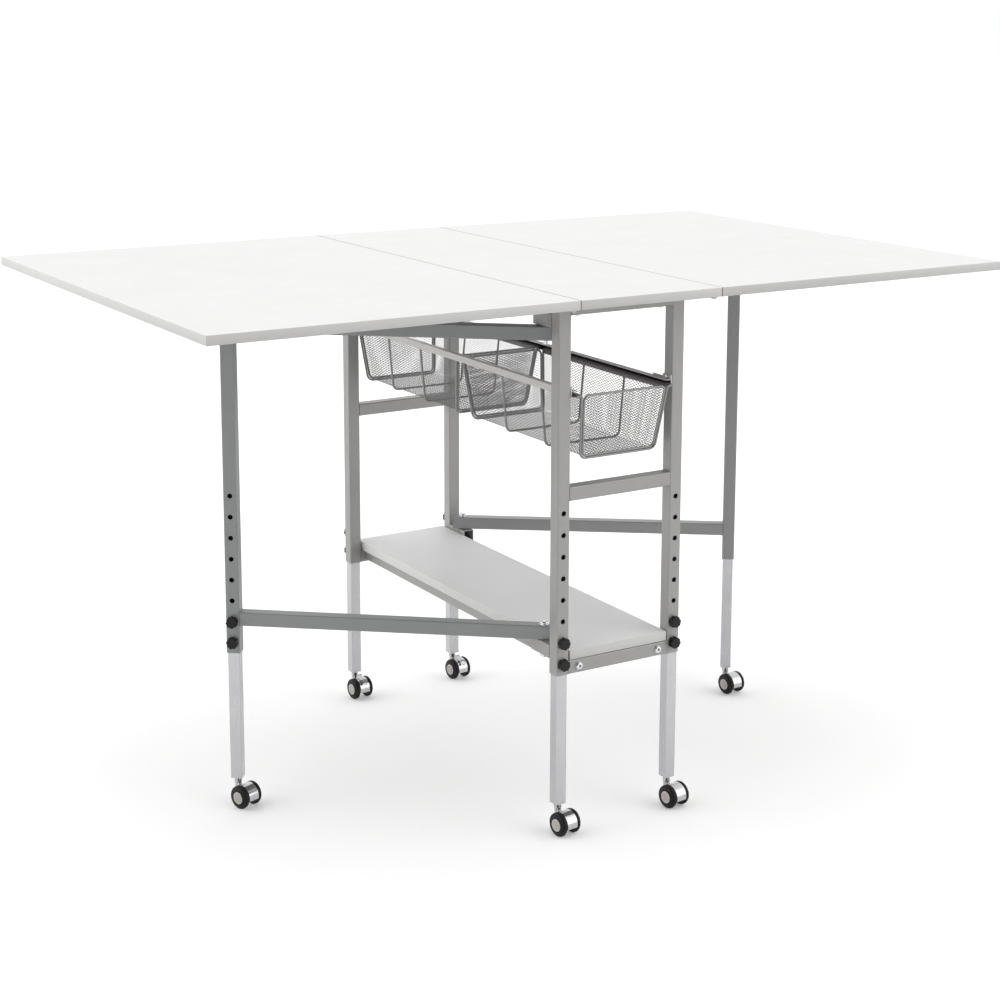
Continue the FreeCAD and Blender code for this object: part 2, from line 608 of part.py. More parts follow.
LEGS = {
    "front_left": (180.0, V(-LEG_X, -LEG_Y, 0), 8.0, False),
    "front_right": (180.0, V(LEG_X, -LEG_Y, 0), 8.0, False),
    "back_left": (0.0, V(-LEG_X, LEG_Y, 0), 6.0, True),
    "back_right": (0.0, V(LEG_X, LEG_Y, 0), 7.0, True),
    "gate_left": (gate_leg("left")[0], gate_leg("left")[1], 20.0, False),
    "gate_right": (gate_leg("right")[0], gate_leg("right")[1], 4.0, False),
}
for nm, (deg, at, swivel, brake) in LEGS.items():
    write("%s_inner_leg" % nm, [turned(s, deg, at) for s in leg_solids])
    for k, kn in ((0, "lower"), (1, "upper")):
        kk = knob.copy()
        kk.rotate(V(0, 0, 0), V(0, 1, 0), {"front_left": 6, "front_right": 15, "back_left": 0, "back_right": 20,
                                           "gate_left": 11, "gate_right": 3}[nm] + 17 * k)
        kk.translate(V(0, 0, HOLE_Z0 + k * HOLE_PITCH))
        write("%s_%s_knob" % (nm, kn), turned(kk, deg, at))
    write("%s_caster_housing" % nm, turned(housing_local(brake), swivel, at))
    write("%s_caster_wheels" % nm, turned(wheels, swivel, at))
    if brake:
        write("%s_brake_lever" % nm, turned(lever_local(), swivel, at))


# ---------------------------------------------------------------- baskets
def liner(side):
    """Thin tapered tray with chamfered lower corners, open at the top: a floor, and walls in two bands."""
    t = 0.8
    lean = (24.2 - 4.6) / 101.0

    def corners(x, z):
        y0, y1 = BASKET_IN_Y + 4.6 + (729.0 - z) * lean, BASKET_OUT_Y - 4.6 - (729.0 - z) * lean
        return [V(-x, y0, z), V(x, y0, z), V(x, y1, z), V(-x, y1, z)]

    off = [V(t, t, 0), V(-t, t, 0), V(-t, -t, 0), V(t, -t, 0)]
    # half width and height: floor, top of the floor panel, top of the chamfer, rim
    x0, z0, x1, z1 = 63.6, 628.0, 71.7, 636.0
    levels = [corners(x0, z0), corners(x0 + (x1 - x0) * t / (z1 - z0), z0 + t), corners(x1, z1), corners(80.8, 729.0)]
    out = [hexa(levels[0] + levels[1])]
    for low, high in ((levels[1], levels[2]), (levels[2], levels[3])):
        ilow = [p + o for p, o in zip(low, off)]
        ihigh = [p + o for p, o in zip(high, off)]
        for i in range(4):
            j = (i + 1) % 4
            out.append(hexa([low[i], low[j], high[j], high[i], ilow[i], ilow[j], ihigh[j], ihigh[i]]))
    if side < 0:
        out = [s.mirror(V(0, 0, 0), V(0, 1, 0)) for s in out]
    return out


def basket_frame(side):
    out = []
    z = RIM_Z - 0.4
    # each end: a closed loop, and outside it a wire that flares out into the rails at its tops
    for yt, yb in ((BASKET_OUT_Y, BASKET_OUT_Y - 20.0), (BASKET_IN_Y, BASKET_IN_Y + 20.0)):
        s = (yb - yt) / (BASKET_BOT_Z - RIM_Z)

        def P(x, z):
            return V(x, yt + (z - RIM_Z) * s, z)

        b = BASKET_BOT_Z
        loop = [P(-79.0, RIM_Z), P(79.0, RIM_Z), P(68.9, b + 4.1), P(-68.9, b + 4.1)]
        flare = [P(-89.6, z), P(-83.4, z), P(-73.0, b), P(73.0, b), P(83.4, z), P(89.6, z)]
        out.append(bent_wire(loop, 9.0, WIRE_R, closed=True))
        out.append(bent_wire_var(flare, [3.0, 12.0, 12.0, 3.0], WIRE_R))
    # side wires that run in the rails
    for sx in (-1, 1):
        out.append(cyl(1.8, BASKET_OUT_Y - BASKET_IN_Y + 3.0, V(sx * 91.5, BASKET_IN_Y - 1.5, z), V(0, 1, 0)))
    # single wires under the tray
    for y in (144.0, 267.0):
        pts = [V(-89.6, y, z), V(-83.4, y, z), V(-73.0, y, BASKET_BOT_Z), V(73.0, y, BASKET_BOT_Z),
               V(83.4, y, z), V(89.6, y, z)]
        out.append(bent_wire_var(pts, [3.0, 11.0, 11.0, 3.0], WIRE_R))
    if side < 0:
        out = [s.mirror(V(0, 0, 0), V(0, 1, 0)) for s in out]
    return out


def bent_wire_var(points, radii, r):
    edges = []
    prev = points[0]
    for i, rad in zip(range(1, len(points) - 1), radii):
        a, b, c = points[i - 1], points[i], points[i + 1]
        u, w = (a - b).normalize(), (c - b).normalize()
        ang = math.acos(max(-1, min(1, u.dot(w))))
        t = rad / math.tan(ang / 2.0)
        p, q = b + u * t, b + w * t
        mid = b + (u + w).normalize() * (rad / math.sin(ang / 2.0) - rad)
        edges += [Part.makeLine(prev, p), Part.Arc(p, mid, q).toShape()]
        prev = q
    edges.append(Part.makeLine(prev, points[-1]))
    path = Part.Wire(edges)
    d = (points[1] - points[0]).normalize()
    s = path.makePipeShell([Part.Wire([Part.makeCircle(r, points[0], d)])], True, False)
    if s.Volume < 0:
        s.reverse()
    if abs(s.Volume / (math.pi * r * r * path.Length) - 1) > 0.01:
        print("pipe volume off", s.Volume, math.pi * r * r * path.Length)
    return s


for side, nm in ((-1, "front"), (1, "back")):
    write("%s_basket_frame" % nm, basket_frame(side))
    write("%s_basket_mesh" % nm, liner(side))
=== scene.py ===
import math

import bpy
from mathutils import Matrix, Vector


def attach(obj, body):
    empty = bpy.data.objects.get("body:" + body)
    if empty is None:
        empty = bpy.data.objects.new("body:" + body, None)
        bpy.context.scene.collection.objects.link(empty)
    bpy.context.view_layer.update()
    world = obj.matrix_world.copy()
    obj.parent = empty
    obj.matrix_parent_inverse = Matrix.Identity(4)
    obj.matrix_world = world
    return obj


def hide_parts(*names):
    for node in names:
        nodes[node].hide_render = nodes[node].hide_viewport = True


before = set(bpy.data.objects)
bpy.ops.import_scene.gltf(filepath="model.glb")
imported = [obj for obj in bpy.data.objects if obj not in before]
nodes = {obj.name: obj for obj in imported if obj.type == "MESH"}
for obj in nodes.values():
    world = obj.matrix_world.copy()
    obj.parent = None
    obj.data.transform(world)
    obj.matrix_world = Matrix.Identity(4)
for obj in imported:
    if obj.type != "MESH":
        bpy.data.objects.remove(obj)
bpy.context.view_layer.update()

MM = 0.001

# ---------------------------------------------------------------- dimensions used again here, in mm
LEG_X, LEG_Y, H = 110.0, 370.0, 11.5
UNDER, TOP = 885.0, 900.0
SEAM_X, SEAM_GAP = 134.7, 0.8
TOP_LENGTH, TOP_DEPTH = 1492.0, 927.0
PIVOT_Y, GATE_R = 325.0, 522.0
GATES = {"left": (141.1, (-LEG_X, -PIVOT_Y)), "right": (-36.1, (LEG_X, PIVOT_Y))}
TRAIL, WHEEL_R = 19.0, 20.0


def gate_foot(which):
    deg, at = GATES[which]
    a = math.radians(deg)
    return at[0] + GATE_R * math.cos(a), at[1] + GATE_R * math.sin(a)


CASTERS = {
    "front_left": ((-LEG_X, -LEG_Y), 8.0),
    "front_right": ((LEG_X, -LEG_Y), 8.0),
    "back_left": ((-LEG_X, LEG_Y), 6.0),
    "back_right": ((LEG_X, LEG_Y), 7.0),
    "gate_left": (gate_foot("left"), 20.0),
    "gate_right": (gate_foot("right"), 4.0),
}


# ---------------------------------------------------------------- node helpers
class Mat:
    """A Principled material with a few procedural inputs, in object coordinates (metres)."""

    def __init__(self, name):
        self.m = bpy.data.materials.new(name)
        self.m.use_nodes = True
        self.nt = self.m.node_tree
        self.b = next(n for n in self.nt.nodes if n.type == "BSDF_PRINCIPLED")
        self.tc = self.nt.nodes.new("ShaderNodeTexCoord")
        self._normal = None

    def link(self, a, b):
        self.nt.links.new(a, b)

    def vec(self, scale=(1, 1, 1), loc=(0, 0, 0)):
        mp = self.nt.nodes.new("ShaderNodeMapping")
        mp.inputs["Scale"].default_value = scale
        mp.inputs["Location"].default_value = loc
        self.link(self.tc.outputs["Object"], mp.inputs["Vector"])
        return mp.outputs["Vector"]

    def noise(self, scale, detail=2.0, rough=0.5, stretch=(1, 1, 1), loc=(0, 0, 0)):
        n = self.nt.nodes.new("ShaderNodeTexNoise")
        n.inputs["Scale"].default_value = scale
        n.inputs["Detail"].default_value = detail
        n.inputs["Roughness"].default_value = rough
        self.link(self.vec(stretch, loc), n.inputs["Vector"])
        return n.outputs["Fac"]

    def voronoi(self, scale, feature="F1", stretch=(1, 1, 1)):
        n = self.nt.nodes.new("ShaderNodeTexVoronoi")
        n.feature = feature
        n.inputs["Scale"].default_value = scale
        self.link(self.vec(stretch), n.inputs["Vector"])
        return n.outputs["Distance"]

    def remap(self, value, lo, hi, frm=(0.3, 0.7)):
        r = self.nt.nodes.new("ShaderNodeMapRange")
        r.inputs["From Min"].default_value = frm[0]
        r.inputs["From Max"].default_value = frm[1]
        r.inputs["To Min"].default_value = lo
        r.inputs["To Max"].default_value = hi
        self.link(value, r.inputs["Value"])
        return r.outputs["Result"]

    def math(self, op, a, b):
        n = self.nt.nodes.new("ShaderNodeMath")
        n.operation = op
        for i, v in enumerate((a, b)):
            if isinstance(v, (int, float)):
                n.inputs[i].default_value = v
            else:
                self.link(v, n.inputs[i])
        return n.outputs["Value"]

    def mix(self, fac, a, b):
        n = self.nt.nodes.new("ShaderNodeMix")
        n.data_type = "RGBA"
        self.link(fac, n.inputs["Factor"])
        for key, v in ((6, a), (7, b)):
            if isinstance(v, tuple):
                n.inputs[key].default_value = (*v, 1.0)
            else:
                self.link(v, n.inputs[key])
        return n.outputs[2]

    def color(self, out):
        self.link(out, self.b.inputs["Base Color"])

    def rough(self, out):
        if isinstance(out, (int, float)):
            self.b.inputs["Roughness"].default_value = out
        else:
            self.link(out, self.b.inputs["Roughness"])

    def bump(self, height, distance, strength=1.0):
        n = self.nt.nodes.new("ShaderNodeBump")
        n.inputs["Strength"].default_value = strength
        n.inputs["Distance"].default_value = distance
        self.link(height, n.inputs["Height"])
        if self._normal is not None:
            self.link(self._normal, n.inputs["Normal"])
        self._normal = n.outputs["Normal"]
        if self.b.inputs["Normal"].links:
            self.nt.links.remove(self.b.inputs["Normal"].links[0])
        self.link(self._normal, self.b.inputs["Normal"])

    def set(self, **kw):
        for k, v in kw.items():
            self.b.inputs[k.replace("_", " ")].default_value = v
        return self


def shade(c, k):
    return tuple(min(1.0, x * k) for x in c)


# ---------------------------------------------------------------- materials
def laminate(name, c, rough=0.42):
    """Melamine face: fine pearl grain, slight cloudiness, faint rubbed patches in the gloss."""
    t = Mat(name)
    cloud = t.noise(7.0, 3.0, 0.55)
    grain = t.noise(950.0, 2.0, 0.6)
    base = t.mix(t.remap(cloud, 0, 1), shade(c, 0.985), shade(c, 1.012))
    base = t.mix(t.remap(grain, 0.0, 0.35, (0.35, 0.75)), base, shade(c, 0.965))
    t.color(base)
    t.rough(t.remap(t.noise(23.0, 4.0, 0.6, loc=(3, 1, 0)), rough - 0.05, rough + 0.07))
    t.bump(t.noise(780.0, 3.0, 0.55), 0.00006, 0.5)
    t.bump(t.noise(9.0, 2.0, 0.5, loc=(0, 4, 2)), 0.0004, 0.12)
    t.set(Specular_IOR_Level=0.42)
    return t.m


def edge_band(name, c):
    """Edge band: a touch warmer than the faces, lengthwise drag marks from the trimmer."""
    t = Mat(name)
    drag = t.noise(1.0, 3.0, 0.6, (60, 60, 2600))
    base = t.mix(t.remap(drag, 0, 1), shade(c, 0.965), shade(c, 1.02))
    base = t.mix(t.remap(t.noise(14.0, 3.0), 0.0, 0.5), base, shade(c, 0.96))
    t.color(base)
    t.rough(t.remap(t.noise(60.0, 3.0, 0.6), 0.36, 0.5))
    t.bump(drag, 0.00005, 0.5)
    t.bump(t.noise(700.0, 2.0, 0.5), 0.00004, 0.35)
    return t.m


def powder_coat(name, c, metallic=0.35, rough=0.44, channel=None):
    """Silver powder coat: aluminium flake sparkle and light orange peel. channel: bounds of a rail's hollow, which
    gets painted shade, near black.
    """
    t = Mat(name)
    flake = t.voronoi(1500.0)
    cloud = t.noise(16.0, 3.0, 0.55)
    base = t.mix(t.remap(flake, 0, 1, (0.1, 0.9)), shade(c, 1.08), shade(c, 0.93))
    base = t.mix(t.remap(cloud, 0.0, 0.6), base, (c[0] * 0.94, c[1] * 0.93, c[2] * 0.92))
    if channel:
        x_in, z_lo, z_hi, y_max = channel
        # painted shade: surfaces inside the rail's channel are coloured near black, standing in for the shadow in the
        # hollow
        sep = t.nt.nodes.new("ShaderNodeSeparateXYZ")
        t.link(t.tc.outputs["Object"], sep.inputs["Vector"])
        inside = t.math("LESS_THAN", t.math("ABSOLUTE", sep.outputs["X"], 0.0), x_in)
        inside = t.math("MULTIPLY", inside, t.math("GREATER_THAN", sep.outputs["Z"], z_lo))
        inside = t.math("MULTIPLY", inside, t.math("LESS_THAN", sep.outputs["Z"], z_hi))
        inside = t.math("MULTIPLY", inside, t.math("LESS_THAN", t.math("ABSOLUTE", sep.outputs["Y"], 0.0), y_max))
        painted_channel_shade = t.mix(t.remap(t.noise(90.0, 3.0, 0.6), 0, 1), (0.018, 0.017, 0.018), (0.045, 0.042, 0.043))
        base = t.mix(inside, base, painted_channel_shade)
    t.color(base)
    t.rough(t.remap(t.noise(240.0, 3.0, 0.6), rough - 0.05, rough + 0.06))
    t.bump(t.noise(420.0, 2.0, 0.5), 0.00012, 0.30)
    t.bump(flake, 0.00003, 0.25)
    t.set(Metallic=metallic)
    return t.m


def zinc(name, c, rough=0.30, streak=(900, 900, 9)):
    """Bright zinc on drawn tube: fine streaks along the length, faint bloom."""
    t = Mat(name)
    lines = t.noise(1.0, 3.0, 0.65, streak)
    bloom = t.noise(34.0, 4.0, 0.6)
    base = t.mix(t.remap(lines, 0, 1), shade(c, 0.93), shade(c, 1.05))
    base = t.mix(t.remap(bloom, 0.0, 0.7), base, (c[0] * 0.93, c[1] * 0.93, c[2] * 0.96))
    t.color(base)
    t.rough(t.math("ADD", t.remap(lines, rough - 0.05, rough + 0.05), t.remap(bloom, -0.03, 0.05)))
    t.bump(lines, 0.00004, 0.35)
    t.set(Metallic=1.0)
    return t.m


def hardware(name, c, rough=0.24):
    t = Mat(name)
    bloom = t.noise(130.0, 4.0, 0.6)
    base = t.mix(t.remap(bloom, 0, 1), shade(c, 0.9), shade(c, 1.06))
    t.color(base)
    t.rough(t.remap(t.noise(420.0, 3.0, 0.6), rough - 0.05, rough + 0.10))
    t.bump(t.noise(900.0, 3.0, 0.6), 0.00003, 0.3)
    t.set(Metallic=1.0)
    return t.m


def black_plastic(name, c=(0.008, 0.0075, 0.008), rough=0.5):
    t = Mat(name)
    t.set(Specular_IOR_Level=0.32)
    grain = t.voronoi(1150.0)
    base = t.mix(t.remap(t.noise(60.0, 3.0), 0, 1), shade(c, 0.8), shade(c, 1.35))
    t.color(base)
    t.rough(t.remap(t.noise(180.0, 3.0, 0.6), rough - 0.06, rough + 0.08))
    t.bump(grain, 0.00010, 0.35)
    return t.m


def wheel_nylon(name):
    t = Mat(name)
    base = t.mix(t.remap(t.noise(90.0, 4.0, 0.6), 0, 1), (0.006, 0.005, 0.006), (0.012, 0.010, 0.012))
    base = t.mix(t.remap(t.noise(420.0, 3.0, 0.7), 0.0, 0.8, (0.6, 0.85)), base, (0.026, 0.024, 0.024))
    t.color(base)
    t.set(Specular_IOR_Level=0.22)
    t.rough(t.remap(t.noise(260.0, 3.0, 0.6), 0.36, 0.52))
    t.bump(t.noise(650.0, 3.0, 0.6), 0.00006, 0.4)
    return t.m


def hub_grey(name, lo=(0.56, 0.52, 0.475), hi=(0.64, 0.60, 0.55)):
    t = Mat(name)
    base = t.mix(t.remap(t.noise(140.0, 3.0, 0.6), 0, 1), lo, hi)
    t.color(base)
    t.rough(t.remap(t.noise(300.0, 3.0, 0.6), 0.36, 0.48))
    t.bump(t.noise(900.0, 2.0, 0.5), 0.00004, 0.35)
    return t.m


def chrome(name):
    t = Mat(name)
    hair = t.noise(1.0, 2.0, 0.6, (2200, 120, 2200))
    base = t.mix(t.remap(t.noise(70.0, 3.0), 0, 1), (0.50, 0.50, 0.505), (0.57, 0.57, 0.575))
    t.color(base)
    t.rough(t.math("ADD", t.remap(hair, 0.09, 0.15), t.remap(t.noise(150.0, 3.0, 0.6), 0.0, 0.06)))
    t.bump(hair, 0.00001, 0.2)
    t.set(Metallic=1.0)
    return t.m


def wire_coat(name, c, rough=0.40, metallic=0.55):
    t = Mat(name)
    base = t.mix(t.remap(t.noise(220.0, 3.0, 0.6), 0, 1), shade(c, 0.9), shade(c, 1.08))
    t.color(base)
    t.rough(t.remap(t.noise(500.0, 3.0, 0.6), rough - 0.06, rough + 0.08))
    t.bump(t.noise(900.0, 2.0, 0.5), 0.00004, 0.35)
    t.set(Metallic=metallic)
    return t.m


def core_edge(name):
    """Bare particle board at the hinged joints: golden chips."""
    t = Mat(name)
    chips = t.noise(520.0, 4.0, 0.7, (1, 1, 2.2))
    base = t.mix(t.remap(chips, 0, 1), (0.36, 0.24, 0.11), (0.66, 0.50, 0.29))
    t.color(base)
    t.rough(t.remap(chips, 0.6, 0.8))
    t.bump(chips, 0.0002, 0.5)
    return t.m


def glue_line(name, lo=(0.56, 0.53, 0.49), hi=(0.64, 0.61, 0.58)):
    t = Mat(name)
    base = t.mix(t.remap(t.noise(160.0, 3.0), 0, 1), lo, hi)
    t.color(base)
    t.rough(t.remap(t.noise(400.0, 2.0), 0.5, 0.65))
    return t.m


WHITE = laminate("laminate_white", (0.785, 0.785, 0.783))
# the edge band is set lighter than the face laminate: partly painted light for the dimmer vertical edges, partly the
# band's own warmer tone
WHITE_EDGE = edge_band("edge_band_white", (0.87, 0.865, 0.845))
# painted light: the shelf is the same white laminate as the top, given lighter copies to make up for the shade under
# the top
SHELF_LIT = laminate("laminate_shelf_painted_light", (0.915, 0.915, 0.915), 0.45)
SHELF_EDGE_LIT = edge_band("edge_band_shelf_painted_light", (0.93, 0.927, 0.91))
GLUE = glue_line("glue_line")
CORE = core_edge("core_board_edge")
# painted shade: the grey seam arris stands in for the shade in the V-groove between the boards
SEAM_SHADE = glue_line("seam_arris_painted_shade", (0.40, 0.39, 0.375), (0.47, 0.46, 0.44))
POWDER = powder_coat("powder_coat_silver", (0.43, 0.427, 0.419))
# painted shade: the gate frames get darker, bluer copies of the same powder coat, the left gate darkest, for the
# leaf's shade falling on them
POWDER_GATE_SHADED = {"left": powder_coat("powder_coat_silver_gate_left_painted_shade", (0.335, 0.345, 0.35)),
               "right": powder_coat("powder_coat_silver_gate_right_painted_shade", (0.385, 0.392, 0.390))}
ZINC = zinc("zinc_tube_satin", (0.53, 0.53, 0.54))
HARD = hardware("zinc_hardware_bright", (0.70, 0.70, 0.72))
HINGE = hardware("hinge_zinc_dull", (0.42, 0.415, 0.40), 0.36)
# the rails carry painted shade inside their channels; on the left rail it stops at |y| 0.345
RAIL = powder_coat("rail_satin", (0.56, 0.55, 0.54), 0.5, 0.38, (0.09615, 0.73045, 0.73915, 1.0))
RAIL_LEFT = powder_coat("rail_satin_left", (0.56, 0.55, 0.54), 0.5, 0.38, (0.09615, 0.73045, 0.73915, 0.345))
BLACK = black_plastic("plastic_black_grained")
NYLON = wheel_nylon("wheel_nylon_black")
HUB = hub_grey("hub_cap_grey")
HUB_RIM = hub_grey("hub_cap_rim", (0.74, 0.71, 0.66), (0.80, 0.77, 0.72))
CHROME = chrome("chrome_polished")
WIRE = wire_coat("wire_silver", (0.30, 0.305, 0.298), 0.36, 0.6)
MESH = wire_coat("mesh_silver", (0.18, 0.177, 0.177), 0.38, 0.35)
# painted shade: the hem is coloured darker and purpler than the mesh, for the shade under the rail lip
HEM_SHADED = wire_coat("mesh_hem_painted_shade", (0.17, 0.155, 0.165), 0.40, 0.6)


# ---------------------------------------------------------------- CAD nodes that stay
def dress(name, m):
    o = nodes[name]
    if not o.material_slots:
        o.data.materials.append(m)
    for s in o.material_slots:
        s.material = m


for n in ("front_end_frame", "back_end_frame", "left_side_stretcher", "right_side_stretcher"):
    dress(n, POWDER)
for n in ("left", "right"):
    dress(n + "_gate_frame", POWDER_GATE_SHADED[n])
dress("left_basket_rail", RAIL_LEFT)
dress("right_basket_rail", RAIL)
for n in ("center_hinge_plates", "left_hinge_plates", "right_hinge_plates", "hinge_pins"):
    dress(n, HINGE)
for n in ("shelf_screws", "top_screws", "rail_screws", "stretcher_bolts", "gate_pivot_bolts"):
    dress(n, HARD)
for n in ("left_gate_glide", "right_gate_glide"):
    dress(n, BLACK)
for n in CASTERS:
    dress(n + "_inner_leg", ZINC)
    dress(n + "_lower_knob", BLACK)
    dress(n + "_upper_knob", BLACK)
    dress(n + "_caster_housing", CHROME)
for n in ("back_left", "back_right"):
    dress(n + "_brake_lever", CHROME)
for n in ("front_basket_frame", "back_basket_frame"):
    dress(n, WIRE)


# ---------------------------------------------------------------- mesh helpers
def make(name, verts, faces, mats, face_mats=None, sharp=35.0, body=None, replaces=()):
    me = bpy.data.meshes.new(name)
    me.from_pydata([tuple(c * MM for c in v) for v in verts], [], faces)
    for m in mats:
        me.materials.append(m)
    if face_mats:
        me.polygons.foreach_set("material_index", face_mats)
    me.polygons.foreach_set("use_smooth", [True] * len(me.polygons))
    me.validate()
    me.update()
    me.set_sharp_from_angle(angle=math.radians(sharp))
    o = bpy.data.objects.new(name, me)
    bpy.context.scene.collection.objects.link(o)
    if body:
        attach(o, body)
    if replaces:
        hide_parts(*replaces)
    return o


def ring_points(x0, x1, y0, y1, inset, rc):
    """A rectangle's outline, inset, with small rounded corners: 4 corners of 4 points, anticlockwise."""
    r = max(rc - inset, 0.05)
    a0, a1, b0, b1 = x0 + inset, x1 - inset, y0 + inset, y1 - inset
    pts = []
    for cx, cy, start in ((a1 - r, b0 + r, -90), (a1 - r, b1 - r, 0), (a0 + r, b1 - r, 90), (a0 + r, b0 + r, 180)):
        for k in range(4):
            a = math.radians(start + 30 * k)
            pts.append((cx + r * math.cos(a), cy + r * math.sin(a)))
    return pts


def board(name, x0, x1, y0, y1, z0, z1, mats, body, replaces, seams=(), arris=0.45, band=1.0):
    """Laminated board: faces, a glue line, and an edge band with eased arrises. The sides in seams show the bare core."""
    prof = [(band + 0.14, 0.0), (band + 0.10, 0.05), (band + 0.04, 0.05), (band, 0.0)]
    arc = [(arris * (1 - math.sin(math.radians(a))), arris * (1 - math.cos(math.radians(a)))) for a in (0, 30, 60, 90)]
    down = [(i, z1 - d) for i, d in prof + arc]
    up = [(i, z0 + d) for i, d in reversed(prof + arc)]
    rings = down + up
    verts, faces, fm = [], [], []
    for i, z in rings:
        verts += [(x, y, z) for x, y in ring_points(x0, x1, y0, y1, i, 0.8)]
    n = 16
    faces.append(list(range(n)))
    fm.append(0)
    last = len(rings) - 1
    for k in range(last):
        glue = k in (0, 1, last - 1, last - 2)
        for j in range(n):
            a, b = k * n + j, k * n + (j + 1) % n
            faces.append([a, a + n, b + n, b])
            bare = (1 in seams and j in (1, 2, 3, 4, 5)) or (-1 in seams and j in (9, 10, 11, 12, 13))
            flat = (1 in seams and j == 3) or (-1 in seams and j == 11)
            # painted shade: the top arris along the seam takes the grey seam material, slot 4, for the shade in the
            # joint's V
            if flat and 3 <= k <= 6:
                fm.append(4)
            elif bare and 5 <= k <= last - 3:
                fm.append(3)
            else:
                fm.append(2 if glue else 1)
    faces.append([last * n + j for j in reversed(range(n))])
    fm.append(0)
    return make(name, verts, faces, mats, fm, 25.0, body, replaces)


half_y = TOP_DEPTH / 2
seam = SEAM_X - SEAM_GAP / 2
board("center_top_board", -seam, seam, -half_y, half_y, UNDER, TOP, [WHITE, WHITE_EDGE, GLUE, CORE, SEAM_SHADE],
      "base", ["center_top"], (-1, 1))
board("left_leaf_board", -TOP_LENGTH / 2, -SEAM_X - SEAM_GAP / 2, -half_y, half_y, UNDER, TOP,
      [WHITE, WHITE_EDGE, GLUE, CORE, SEAM_SHADE], "leaf_left", ["left_leaf"], (1,))
board("right_leaf_board", SEAM_X + SEAM_GAP / 2, TOP_LENGTH / 2, -half_y, half_y, UNDER, TOP,
      [WHITE, WHITE_EDGE, GLUE, CORE, SEAM_SHADE], "leaf_right", ["right_leaf"], (-1,))
board("shelf_board", -96.0, 96.0, -381.5, 381.5, 295.0, 311.0, [SHELF_LIT, SHELF_EDGE_LIT, GLUE],
      "base", ["shelf"])


# ---------------------------------------------------------------- weld fillets at the tube joints
def bead(verts, faces, p0, p1, da, db, r, seed):
    """A fillet along p0-p1 in the corner between two faces that run along da and db."""
    p0, p1, da, db = Vector(p0), Vector(p1), Vector(da), Vector(db)
    length = (p1 - p0).length
    steps = max(6, int(length / 0.8))
    rows = []
    for i in range(steps + 1):
        t = i / steps
        end = min(1.0, min(t, 1 - t) * length / 1.6)
        wave = 1.0 + 0.10 * math.sin(i * 2.1 + seed) + 0.05 * math.sin(i * 0.7 + 2 * seed)
        rr = r * wave * (0.35 + 0.65 * math.sqrt(max(end, 0.0)))
        c = p0.lerp(p1, t)
        row = [c - da * 0.25 - db * 0.25]
        for k in range(6):
            a = math.radians(90.0 * k / 5)
            u, v = math.cos(a), math.sin(a)
            m = 0.80 + 0.20 * abs(u - v)
            row.append(c + da * (rr * u * m) + db * (rr * v * m))
        rows.append(len(verts))
        verts.extend([tuple(q) for q in row])
    n = 7
    flip = (p1 - p0).cross(da).dot(db) > 0
    for a, b in zip(rows, rows[1:]):
        for k in range(n):
            f = [a + k, a + (k + 1) % n, b + (k + 1) % n, b + k]
            faces.append(f if not flip else f[::-1])
    cap0 = [rows[0] + k for k in range(n)]
    cap1 = [rows[-1] + k for k in range(n)]
    faces.append(cap0[::-1] if not flip else cap0)
    faces.append(cap1 if not flip else cap1[::-1])


def frame_welds(side, name):
    v, f = [], []
    y = side * LEG_Y
    seed = 1.0 + side
    for sx in (-1, 1):
        x = sx * (LEG_X - H)
        lines = [(862.0, -1), (561.0, -1), (584.0, 1), (294.0, 1)]
        for z, up in lines:
            seed += 0.9
            bead(v, f, (x, y - 9.3, z), (x, y + 9.3, z), (-sx, 0, 0), (0, 0, up), 1.5, seed)
    # hinge blocks against the upright that carries the gate
    bx = side * LEG_X
    yb = side * (LEG_Y - H)
    for z, up in ((295.0, -1), (318.0, 1), (840.0, -1), (863.0, 1)):
        seed += 0.9
        bead(v, f, (bx - 9.3, yb, z), (bx + 9.3, yb, z), (0, -side, 0), (0, 0, up), 1.5, seed)
    return make(name, v, f, [POWDER], None, 50.0, "base")


def gate_welds(which):
    deg, at = GATES[which]
    a = math.radians(deg)
    ux, uy = math.cos(a), math.sin(a)
    v, f = [], []
    seed = 3.0

    def w(lx, ly, z):
        return (at[0] + lx * ux - ly * uy, at[1] + lx * uy + ly * ux, z)

    lx = GATE_R - H
    for z, up in ((319.0, -1), (342.0, 1), (816.0, -1), (839.0, 1)):
        seed += 1.1
        bead(v, f, w(lx, -9.3, z), w(lx, 9.3, z), (-ux, -uy, 0), (0, 0, up), 1.5, seed)
    return make(which + "_gate_welds", v, f, [POWDER_GATE_SHADED[which]], None, 50.0, "gate_" + which)


frame_welds(-1, "front_frame_welds")
frame_welds(1, "back_frame_welds")
gate_welds("left")
gate_welds("right")


# ---------------------------------------------------------------- caster wheels and hub caps
def lathe(verts, faces, prof, place, seg=80, mirror=False):
    """Revolve (x, r) about the axle. place maps a local point to the frame."""
    base = len(verts)
    n = len(prof)
    for s in range(seg):
        a = 2 * math.pi * s / seg
        for x, r in prof:
            verts.append(place(-x if mirror else x, r * math.cos(a), r * math.sin(a)))
    for s in range(seg):
        t = (s + 1) % seg
        for k in range(n - 1):
            q = [base + s * n + k, base + s * n + k + 1, base + t * n + k + 1, base + t * n + k]
            faces.append(q[::-1] if mirror else q)


def rounded(points, radius, steps=4):
    """Ease every inner corner of an open profile."""
    out = [points[0]]
    for a, b, c in zip(points, points[1:], points[2:]):
        A, B, C = Vector(a), Vector(b), Vector(c)
        r = min(radius, (A - B).length * 0.45, (C - B).length * 0.45)
        p, q = B + (A - B).normalized() * r, B + (C - B).normalized() * r
        for k in range(steps + 1):
            t = k / steps
            out.append(tuple(p * (1 - t) ** 2 + B * 2 * t * (1 - t) + q * t ** 2))
    out.append(points[-1])
    return out


